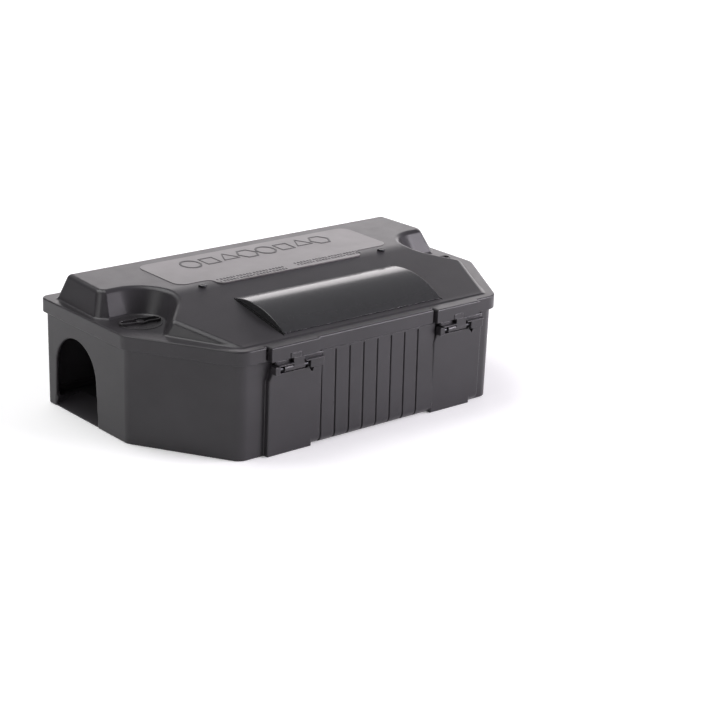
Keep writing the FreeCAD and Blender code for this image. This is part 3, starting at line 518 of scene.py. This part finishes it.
def base_field(x, y, z):
    """The base: its shell and skirt, the ribbed front with the hinge panels, the entrances, the
    anchor holes and the rails that hold the baffles."""
    side_x = np.abs(x)
    plan = footprint(x, y, WALL_INSET) + (RIM - z) * math.tan(DRAFT)
    outer = round_max(plan, UNDERSIDE - z, BOTTOM_ROUND)
    inner = round_max(plan + SKIN, FLOOR - z, FLOOR_ROUND)
    ring = np.maximum(np.maximum(plan, -(plan + SKIRT)), z - SKIRT_TOP)
    gap = np.maximum(side_x - SKIRT_GAP_X, y - SKIRT_GAP_Y)
    skirt = np.maximum(round_max(ring, -z, SKIRT_ROUND), -gap)
    body = np.minimum(np.maximum(outer, -inner), skirt)
    for centre in hinge_places():
        body = hinge_panel(body, x, y, z, centre)
    between_panels, rib_face = ribs(x, y, z)
    body = np.minimum(body, between_panels)
    body = round_max(body, -grooves(x, y, z, rib_face), GROOVE_ROUND)
    door, ramp = entrances(side_x, y, z)
    body = round_max(body, -door, DOOR_ROUND)
    body = np.minimum(body, ramp)
    anchor = np.hypot(side_x - ANCHOR_X, y - ANCHOR_Y) - ANCHOR_RADIUS
    body = np.maximum(body, -anchor)
    rail = np.maximum(between(np.abs(side_x - BAFFLE_X), RAIL_IN, RAIL_OUT),
                      between(y, RAIL_FRONT, RAIL_BACK))
    body = np.minimum(body, np.maximum(rail, between(z, RAIL_LOW, RAIL_TOP)))
    return round_max(body, z - RIM, RIM_ROUND)


# ---- from a field to a mesh ---------------------------------------------------------------------

def axis(low, high, coarse, *fine):
    """Grid places from low to high in coarse steps, with stretches (start, end, step) of finer ones."""
    scale = 1.0
    places = [low]
    while places[-1] < high:
        here = places[-1]
        step = min([coarse] + [small for start, end, small in fine if start <= here < end])
        places.append(here + step * scale)
    return np.array(places, np.float32)


def slope_of(field, points, step=0.12):
    """The field's gradient at points."""
    x, y, z = points.T
    return np.stack([
        field(x + step, y, z) - field(x - step, y, z),
        field(x, y + step, z) - field(x, y - step, z),
        field(x, y, z + step) - field(x, y, z - step),
    ], axis=1) / (2 * step)


def settle(field, points, rounds=3):
    """Moves points along the gradient onto the field's zero surface, a short way each round."""
    least, furthest = 0.2, 0.4
    for _ in range(rounds):
        slope = slope_of(field, points)
        size = np.maximum((slope ** 2).sum(1), least)
        shift = np.clip(field(*points.T) / size, -furthest, furthest)
        points = points - slope * shift[:, None]
    return points


def net(field, axes):
    """Vertices and quads of the field's zero surface, one vertex to each grid cell it crosses."""
    value = field(*np.ix_(*axes)).astype(np.float32)
    inside = value < 0
    strides = np.array([value.shape[1] * value.shape[2], value.shape[2], 1])
    quads, places = [], []
    for way in range(3):
        lower = [slice(None)] * 3
        upper = [slice(None)] * 3
        lower[way], upper[way] = slice(None, -1), slice(1, None)
        where = np.argwhere(inside[tuple(lower)] != inside[tuple(upper)])
        second, third = (way + 1) % 3, (way + 2) % 3
        where = where[(where[:, second] > 0) & (where[:, third] > 0)]
        cell = where @ strides
        near = value.reshape(-1)[cell]
        far = value.reshape(-1)[cell + strides[way]]
        point = np.stack([axes[i][where[:, i]] for i in range(3)], axis=1).astype(float)
        gap = np.diff(axes[way])[where[:, way]]
        point[:, way] += gap * near / (near - far)
        ring = np.stack(
            [cell, cell - strides[second], cell - strides[second] - strides[third],
             cell - strides[third]], axis=1)
        ring[near >= 0] = ring[near >= 0][:, ::-1]
        quads.append(ring)
        places.append(point)
    quads, places = np.concatenate(quads), np.concatenate(places)
    cells, index = np.unique(quads.ravel(), return_inverse=True)
    count = np.bincount(index)
    points = np.stack(
        [np.bincount(index, np.repeat(places[:, i], 4)) / count for i in range(3)], axis=1)
    return points, index.reshape(-1, 4)


def mesh_object(name, points, faces):
    """points in millimetres about the flange's centre."""
    mesh = bpy.data.meshes.new(name)
    placed = (np.asarray(points, float) + (0, CENTRE_Y, 0)) * MM
    mesh.from_pydata(placed.tolist(), [], [list(map(int, face)) for face in faces])
    mesh.validate()
    item = bpy.data.objects.new(name, mesh)
    bpy.context.scene.collection.objects.link(item)
    return item


def thin_out(item, limit):
    """Brings a mesh of quads down to a number of triangles, fewer where the surface is flat."""
    modifier = item.modifiers.new("thin", "DECIMATE")
    modifier.ratio = min(1.0, limit / (2 * len(item.data.polygons)))
    graph = bpy.context.evaluated_depsgraph_get()
    mesh = bpy.data.meshes.new_from_object(item.evaluated_get(graph))
    item.modifiers.clear()
    old = item.data
    item.data = mesh
    bpy.data.meshes.remove(old)


def moulded(name, field, axes, limit, material, body):
    """A smooth surface object from a field, with the field's own normals and its convex edges
    marked in the attribute edge."""
    points, quads = net(field, axes)
    item = mesh_object(name, settle(field, points), quads)
    thin_out(item, limit)
    mesh = item.data
    places = np.empty(len(mesh.vertices) * 3, np.float32)
    mesh.vertices.foreach_get("co", places)
    points = places.reshape(-1, 3) / MM - (0, CENTRE_Y, 0)
    points = settle(field, points, 2)
    placed = (points + (0, CENTRE_Y, 0)) * MM
    mesh.vertices.foreach_set("co", placed.astype(np.float32).ravel())
    normals = slope_of(field, points)
    normals /= np.maximum(np.linalg.norm(normals, axis=1), 1e-6)[:, None]
    reach = 1.2
    bend = field(*(points - normals * reach).T) + reach
    edge = mesh.attributes.new("edge", "FLOAT", "POINT")
    edge.data.foreach_set("value", np.clip(bend, 0, 1).astype(np.float32))
    mesh.shade_smooth()
    mesh.normals_split_custom_set_from_vertices(normals.tolist())
    mesh.update()
    return finished(item, material, body)


def finished(item, material, body):
    """Gives a new piece its material and the body it rides on."""
    item.data.materials.clear()
    item.data.materials.append(material)
    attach(item, body)
    return item


# ---- label panel --------------------------------------------------------------------------------

def top_height(y):
    """Height of the lid's nearly level top."""
    fall = (BACK_EDGE[1] - HUMP_BREAK[1]) / (BACK_EDGE[0] - HUMP_BREAK[0])
    return HUMP_BREAK[1] + (y - HUMP_BREAK[0]) * fall


def round_corners(corners, radii, steps=8):
    """An outline with every corner, convex or not, turned into an arc of its own radius."""
    out = []
    for i, here in enumerate(corners):
        here = np.array(here, float)
        back = np.array(corners[i - 1], float) - here
        ahead = np.array(corners[(i + 1) % len(corners)], float) - here
        back /= np.hypot(*back)
        ahead /= np.hypot(*ahead)
        half = math.acos(float(np.clip(back @ ahead, -1, 1))) / 2
        radius = radii[i % len(radii)]
        centre = here + (back + ahead) / np.hypot(*(back + ahead)) * radius / math.sin(half)
        start = here + back * radius / math.tan(half) - centre
        end = here + ahead * radius / math.tan(half) - centre
        turn = math.atan2(start[0] * end[1] - start[1] * end[0], start @ end)
        for k in range(steps + 1):
            angle = turn * k / steps
            out.append((
                centre[0] + start[0] * math.cos(angle) - start[1] * math.sin(angle),
                centre[1] + start[0] * math.sin(angle) + start[1] * math.cos(angle),
            ))
    return out


def stepped_in(outline, inset):
    """An anticlockwise outline moved inwards."""
    points = np.array(outline)
    run = np.roll(points, -1, 0) - np.roll(points, 1, 0)
    run /= np.maximum(np.hypot(run[:, 0], run[:, 1]), 1e-9)[:, None]
    return points + np.stack([-run[:, 1], run[:, 0]], axis=1) * inset


def loops_solid(loops, closed):
    """Points and faces of bands between loops of equal length, each (outline, height over the top).
    A closed one joins its last loop to its first; otherwise both ends are capped."""
    count = len(loops[0][0])
    points = [(x, y, top_height(y) + height) for outline, height in loops for x, y in outline]
    faces = []
    last = len(loops) if closed else len(loops) - 1
    for i in range(last):
        low, high = i * count, (i + 1) % len(loops) * count
        for j in range(count):
            k = (j + 1) % count
            faces.append((low + j, low + k, high + k, high + j))
    if not closed:
        faces.append(tuple(range(count))[::-1])
        faces.append(tuple(range(last * count, last * count + count)))
    return points, faces


def joined(solids):
    """Several solids as one list of points and one of faces."""
    points, faces = [], []
    for more_points, more_faces in solids:
        faces += [tuple(i + len(points) for i in face) for face in more_faces]
        points += more_points
    return points, faces


def regular(sides, centre, radius, turn=0.0):
    """A regular polygon's corners, anticlockwise."""
    angles = [turn + 2 * math.pi * i / sides for i in range(sides)]
    return [(centre[0] + radius * math.cos(a), centre[1] + radius * math.sin(a)) for a in angles]


def oblong(x, y, width, depth, inset=0.0):
    """A rectangle's corners from its low one, anticlockwise, stepped in."""
    left, right, front, back = x + inset, x + width - inset, y + inset, y + depth - inset
    return [(left, front), (right, front), (right, back), (left, back)]


def label_plate():
    """The panel: a long rectangle with a narrower apron in front."""
    corners = [
        (LABEL_LEFT, LABEL_FRONT), (APRON_LEFT, LABEL_FRONT), (APRON_LEFT, APRON_FRONT),
        (APRON_RIGHT, APRON_FRONT), (APRON_RIGHT, LABEL_FRONT), (LABEL_RIGHT, LABEL_FRONT),
        (LABEL_RIGHT, LABEL_BACK), (LABEL_LEFT, LABEL_BACK),
    ]
    plate = round_corners(corners, (LABEL_CORNER, *[APRON_CORNER] * 4, *[LABEL_CORNER] * 3))
    top = stepped_in(plate, LABEL_BEVEL_WIDTH)
    loops = [(plate, -LABEL_SUNK), (plate, LABEL_RISE - LABEL_BEVEL), (top, LABEL_RISE)]
    return loops_solid(loops, False)


def figure(sides, turn, radius, centre):
    """One plain outlined figure, a little taller than wide."""
    outer = regular(sides, centre, radius, turn)
    inner = regular(sides, centre, radius - FIGURE_STROKE, turn)
    outer = round_corners(outer, (FIGURE_ROUND,), 3)
    inner = round_corners(inner, (FIGURE_INNER_ROUND,), 3)
    outer, inner = [
        [(x, centre[1] + FIGURE_STRETCH * (y - centre[1])) for x, y in loop]
        for loop in (outer, inner)
    ]
    loops = [(outer, MARK_LOW), (outer, MARK_HIGH), (inner, MARK_HIGH), (inner, MARK_LOW)]
    return loops_solid(loops, True)


def ticks(start, end, row):
    """A row of short ticks with bevelled edges, each fifth one narrower."""
    solids = []
    for i in range(int((end - start) / TICK_PITCH)):
        x = start + i * TICK_PITCH
        width = TICK_WIDE if i % 5 else TICK_NARROW
        foot = oblong(x, row, width, TICK_DEPTH)
        top = oblong(x, row, width, TICK_DEPTH, TICK_BEVEL)
        solids.append(loops_solid([(foot, MARK_LOW), (top, MARK_HIGH)], False))
    return solids


def make_label():
    """A smoother raised panel on the lid's top, with plain outlined figures and rows of ticks."""
    panel = mesh_object("label_panel", *label_plate())
    panel.data.shade_smooth()
    panel.data.set_sharp_from_angle(angle=math.radians(20))
    finished(panel, LABEL, "lid")

    # Circle, square, triangle and hexagon: the number of sides, the turn and the radius.
    kinds = (40, 0.0, 8.0), (4, math.pi / 4, 8.8), (3, math.pi / 2, 8.8), (6, 0.0, 8.8)
    marks = []
    for i in range(FIGURES):
        marks.append(figure(*kinds[i % len(kinds)], (FIGURE_FIRST + FIGURE_PITCH * i, FIGURE_Y)))
    for start, end, rows in TICK_ROWS:
        for row in rows:
            marks += ticks(start, end, row)
    finished(mesh_object("label_figures", *joined(marks)), INK, "lid")


# ---- materials ----------------------------------------------------------------------------------

def node(tree, kind, **settings):
    """A new shader node; each setting is an input's value or else a property."""
    made = tree.nodes.new(kind)
    for key, value in settings.items():
        if key in made.inputs:
            made.inputs[key].default_value = value
        else:
            setattr(made, key, value)
    return made


def new_material(name):
    """A material, its node tree and its main shader."""
    material = bpy.data.materials.new(name)
    material.use_nodes = True
    return material, material.node_tree, material.node_tree.nodes["Principled BSDF"]


def noise(tree, size, detail=3.0, stretch=(1, 1, 1)):
    """A noise of features about size metres across, stretched along an axis if asked."""
    where = node(tree, "ShaderNodeTexCoord").outputs["Object"]
    mapping = node(tree, "ShaderNodeMapping", Scale=stretch)
    tree.links.new(where, mapping.inputs["Vector"])
    made = node(tree, "ShaderNodeTexNoise", Scale=1 / size, Detail=detail)
    tree.links.new(mapping.outputs["Vector"], made.inputs["Vector"])
    return made.outputs["Fac"]


def ranged(tree, source, start, end, low, high):
    """A value that runs from start to end, turned into one that runs from low to high."""
    made = node(tree, "ShaderNodeMapRange")
    for key, value in (("From Min", start), ("From Max", end), ("To Min", low), ("To Max", high)):
        made.inputs[key].default_value = value
    tree.links.new(source, made.inputs["Value"])
    return made.outputs["Result"]


def spread(tree, source, low, high):
    """A noise's usual values spread from low to high."""
    return ranged(tree, source, 0.3, 0.7, low, high)


def blend(tree, factor, first, second):
    """A colour between two, either of them a colour or a socket."""
    made = node(tree, "ShaderNodeMix", data_type="RGBA")
    tree.links.new(factor, made.inputs["Factor"])
    for colour, socket in ((first, made.inputs[6]), (second, made.inputs[7])):
        if isinstance(colour, tuple):
            socket.default_value = (*colour, 1)
        else:
            tree.links.new(colour, socket)
    return made.outputs[2]


def shade(colour, gain):
    """A lighter or darker colour."""
    return tuple(part * gain for part in colour)


def bumped(tree, shader, height, strength, distance):
    """Gives a surface the relief of a height."""
    bump = node(tree, "ShaderNodeBump", Strength=strength, Distance=distance)
    tree.links.new(height, bump.inputs["Height"])
    tree.links.new(bump.outputs["Normal"], shader.inputs["Normal"])


def plastic(name, colour, roughness, grain=0.10, grain_size=0.0006, wear_and_highlight_gain=1.25, shine=0.34):
    """Moulded plastic: faint colour mottling, satin roughness that varies, a fine grain in relief
    and convex edges painted a little lighter, partly as rubbed wear and partly as a painted highlight."""
    material, tree, shader = new_material(name)
    mottling = spread(tree, noise(tree, 0.035), 0, 1)
    base = blend(tree, mottling, shade(colour, 0.88), shade(colour, 1.12))
    # Convex edges are painted lighter: partly rubbed wear, partly a painted highlight in place of the
    # light caught on their roundings.
    edge = node(tree, "ShaderNodeAttribute", attribute_name="edge").outputs["Fac"]
    edge_wear_and_highlight = node(tree, "ShaderNodeMath", operation="MULTIPLY")
    tree.links.new(edge, edge_wear_and_highlight.inputs[0])
    tree.links.new(spread(tree, noise(tree, 0.006), 0.35, 1.0), edge_wear_and_highlight.inputs[1])
    base = blend(tree, edge_wear_and_highlight.outputs[0], base, shade(colour, wear_and_highlight_gain))
    tree.links.new(base, shader.inputs["Base Color"])
    patchy = spread(tree, noise(tree, 0.012, 4), roughness * 0.94, roughness * 1.06)
    tree.links.new(patchy, shader.inputs["Roughness"])
    shader.inputs["Specular IOR Level"].default_value = shine
    bumped(tree, shader, noise(tree, grain_size, 2), grain, 0.0002)
    return material


def metal(name, colour, roughness):
    """Drawn wire or turned steel: fine streaks in its roughness and relief."""
    material, tree, shader = new_material(name)
    shader.inputs["Metallic"].default_value = 1.0
    patches = spread(tree, noise(tree, 0.004), 0, 1)
    tree.links.new(blend(tree, patches, shade(colour, 0.85), colour), shader.inputs["Base Color"])
    streaks = noise(tree, 0.0012, 3, (1, 1, 0.1))
    satin = spread(tree, streaks, roughness - 0.08, roughness + 0.08)
    tree.links.new(satin, shader.inputs["Roughness"])
    bumped(tree, shader, streaks, 0.15, 0.0001)
    return material


def wax():
    """Pressed bait: grains of meal in coloured wax."""
    material, tree, shader = new_material("bait_wax")
    meal = spread(tree, noise(tree, 0.0022, 5), 0, 1)
    colour = blend(tree, meal, (0.03, 0.22, 0.20), (0.12, 0.42, 0.36))
    tree.links.new(colour, shader.inputs["Base Color"])
    tree.links.new(spread(tree, noise(tree, 0.004), 0.45, 0.7), shader.inputs["Roughness"])
    bumped(tree, shader, noise(tree, 0.0015, 4), 0.6, 0.0006)
    return material


def paper(name, colour):
    """Uncoated card: faint fibres."""
    material, tree, shader = new_material(name)
    fibres = noise(tree, 0.0015, 5, (1, 0.35, 1))
    tree.links.new(blend(tree, spread(tree, fibres, 0, 1), shade(colour, 0.93), colour),
                   shader.inputs["Base Color"])
    tree.links.new(spread(tree, fibres, 0.75, 0.9), shader.inputs["Roughness"])
    bumped(tree, shader, fibres, 0.2, 0.0001)
    return material


# ---- the scene ----------------------------------------------------------------------------------

def make_camera():
    """The main view from the front left: its angles in degrees, and its distance and the point it
    looks at in metres, beside and above the middle of the station."""
    azimuth, elevation, roll = map(math.radians, (-40.85, 19.246, -2.1417))
    distance = 1.40757
    aim_right, aim_up = 0.048522, 0.027402
    back = Vector((
        math.sin(azimuth) * math.cos(elevation),
        -math.cos(azimuth) * math.cos(elevation),
        math.sin(elevation),
    ))
    level = (-back).cross(Vector((0, 0, 1))).normalized()
    above = level.cross(-back)
    right = math.cos(roll) * level - math.sin(roll) * above
    up = math.sin(roll) * level + math.cos(roll) * above
    target = aim_right * level + Vector((0, CENTRE_Y * MM, aim_up))
    camera = bpy.data.cameras.new("camera")
    camera.sensor_width = 36
    camera.lens = 95.96
    camera.clip_start = 0.05
    item = bpy.data.objects.new("camera", camera)
    item.matrix_world = Matrix.Translation(target + back * distance) @ Matrix(
        (right, up, back)).transposed().to_4x4()
    bpy.context.scene.collection.objects.link(item)
    bpy.context.scene.camera = item


def make_light(name, place, aim, size, power, colour=(1, 1, 1)):
    """A rectangular lamp turned to face a point."""
    lamp = bpy.data.lights.new(name, "AREA")
    lamp.shape = "RECTANGLE"
    lamp.size, lamp.size_y = size
    lamp.energy = power
    lamp.color = colour
    item = bpy.data.objects.new(name, lamp)
    item.location = place
    item.rotation_euler = (Vector(aim) - Vector(place)).to_track_quat("-Z", "Y").to_euler()
    bpy.context.scene.collection.objects.link(item)


def make_sky():
    """A studio that is darker on the left than on the right."""
    world = bpy.data.worlds.new("studio")
    bpy.context.scene.world = world
    world.use_nodes = True
    tree = world.node_tree
    backdrop = tree.nodes["Background"]
    apart = node(tree, "ShaderNodeSeparateXYZ")
    tree.links.new(node(tree, "ShaderNodeTexCoord").outputs["Generated"], apart.inputs[0])
    strength = ranged(tree, apart.outputs["X"], -0.8, 0.6, 0.08, 0.42)
    tree.links.new(strength, backdrop.inputs["Strength"])
    backdrop.inputs["Color"].default_value = (0.97, 0.96, 1.0, 1)


def make_floor():
    """A white floor that glows more further out."""
    half = 8.0
    floor = bpy.data.meshes.new("floor")
    corners = [(-half, -half, 0), (half, -half, 0), (half, half, 0), (-half, half, 0)]
    floor.from_pydata(corners, [], [(0, 1, 2, 3)])
    item = bpy.data.objects.new("floor", floor)
    bpy.context.scene.collection.objects.link(item)
    sheet, tree, shader = new_material("sweep")
    shader.inputs["Base Color"].default_value = (0.92, 0.92, 0.92, 1)
    shader.inputs["Roughness"].default_value = 0.9
    shader.inputs["Specular IOR Level"].default_value = 0.1
    shader.inputs["Emission Color"].default_value = (1, 1, 1, 1)
    away = node(tree, "ShaderNodeVectorMath", operation="LENGTH")
    tree.links.new(node(tree, "ShaderNodeTexCoord").outputs["Object"], away.inputs[0])
    glow = ranged(tree, away.outputs["Value"], 0.3, 1.0, 0.2, 0.75)
    tree.links.new(glow, shader.inputs["Emission Strength"])
    floor.materials.append(sheet)


def make_studio():
    """The sky, the floor and four lamps; places and sizes in metres, power in watts."""
    bpy.context.scene.view_settings.view_transform = "Standard"
    make_sky()
    make_floor()
    make_light("key", (1.6, -1.6, 0.8), (0, 0, 0.05), (1.4, 0.9), 72, (0.97, 0.92, 1.0))
    make_light("overhead", (-0.6, 0.9, 2.0), (0, 0, 0.0), (1.6, 1.6), 33)
    make_light("back_panel", (1.6, 1.9, 0.55), (0, 0, 0.08), (2.2, 0.9), 13, (1.0, 0.955, 0.965))
    make_light("left_box", (-1.9, -0.1, 1.1), (0, 0, 0.08), (1.0, 0.8), 8)


# ---- building -----------------------------------------------------------------------------------

BLACK = plastic("black_plastic", (0.0235, 0.0216, 0.0243), 0.34)
LABEL = plastic("label_plastic", (0.10, 0.092, 0.095), 0.30, grain=0.01)
INK = plastic("mark_plastic", (0.020, 0.019, 0.021), 0.4, grain=0.02)
GLOSS = plastic("gloss_plastic", (0.018, 0.018, 0.019), 0.17, grain=0.01, shine=0.45)
INNER = plastic("inner_plastic", (0.030, 0.029, 0.030), 0.5)
LOCK = plastic("lock_plastic", (0.022, 0.0205, 0.022), 0.30, grain=0.05)
STEEL = metal("zinc_steel", (0.55, 0.56, 0.58), 0.34)
DARK_STEEL = metal("blackened_steel", (0.06, 0.06, 0.065), 0.4)
WAX = wax()
CARD = paper("card", (0.80, 0.79, 0.74))

LOOKS = {
    "black_plastic": BLACK, "gloss_plastic": GLOSS, "inner_plastic": INNER, "lock_plastic": LOCK,
    "steel": STEEL, "bait_wax": WAX, "card": CARD,
}
for part in frame["record"]["subparts"]:
    for slot in frame["nodes"][part["node"]].material_slots:
        slot.material = LOOKS[part["material_slot"]]
for name in ("hinge_pin_left", "hinge_pin_right", "holder_screws"):
    for slot in frame["nodes"][name].material_slots:
        slot.material = DARK_STEEL

# The grids, in millimetres: low, high, coarse step, and finer stretches where a surface has detail.
SLOT_STRETCHES = [(c - STRETCH_LEFT - 3.0, c - STRETCH_LEFT + 0.8, 0.4) for c in hinge_places()]
LID_GRID = (
    axis(-162, 162, 0.9, *SLOT_STRETCHES, (-74, -70, 0.5), (70, 74, 0.5)),
    axis(-96, 92.5, 0.9, (-95, -87, 0.42)),
    axis(66, 99, 0.7, (68, 69.8, 0.35), (77.2, 80.6, 0.45), (94.5, 98, 0.5)),
)
PANEL_STRETCHES = [(c - 21.0, c + 28.4, 0.5) for c in hinge_places()]
GROOVE_PLACES = [GROOVE_FIRST + i * GROOVE_PITCH for i in range(GROOVES)]
GROOVE_STRETCHES = [(place - 1.3, place + 1.3, 0.33) for place in GROOVE_PLACES]
BASE_GRID = (
    axis(-158.5, 158.5, 1.1, *PANEL_STRETCHES, *GROOVE_STRETCHES),
    axis(-96, 88.5, 1.1, (-95.6, -84.5, 0.42)),
    axis(-1.0, 77, 1.1, (-1, 1, 0.5), (54, 66.6, 0.42)),
)
DOME_GRID = (
    axis(-73, 73, 1.2, (-73, -69, 0.4), (69, 73, 0.4)), axis(-80, -20, 0.6), axis(78, 101.5, 0.6),
)

lid = moulded("lid", lid_field, LID_GRID, 170000, BLACK, "lid")
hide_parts("lid_shell")
base = moulded("base", base_field, BASE_GRID, 180000, BLACK, "base")
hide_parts("base_shell")
dome = moulded("dome", dome_field, DOME_GRID, 60000, GLOSS, "lid")
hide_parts("dome_cover")

for side, word, centre in zip((-1, 1), ("left", "right"), hinge_places()):
    grid = axis(centre - 10, centre + 10, 0.35), axis(-95, -88, 0.35), axis(59, 70.3, 0.35)
    moulded(
        f"lid_hinge_{word}", lid_hinge_field(centre), grid, 12000, BLACK, "lid")
    x, reach = side * LOCK_X, 17
    grid = (axis(x - reach, x + reach, 0.4), axis(LOCK_Y - reach, LOCK_Y + reach, 0.4),
            axis(70, 82.2, 0.4))
    core = moulded(
        f"lock_face_{word}", lock_field(side), grid, 40000, LOCK, f"lock_{word}")
    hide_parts(f"lock_core_{word}")

make_label()
make_camera()
make_studio()
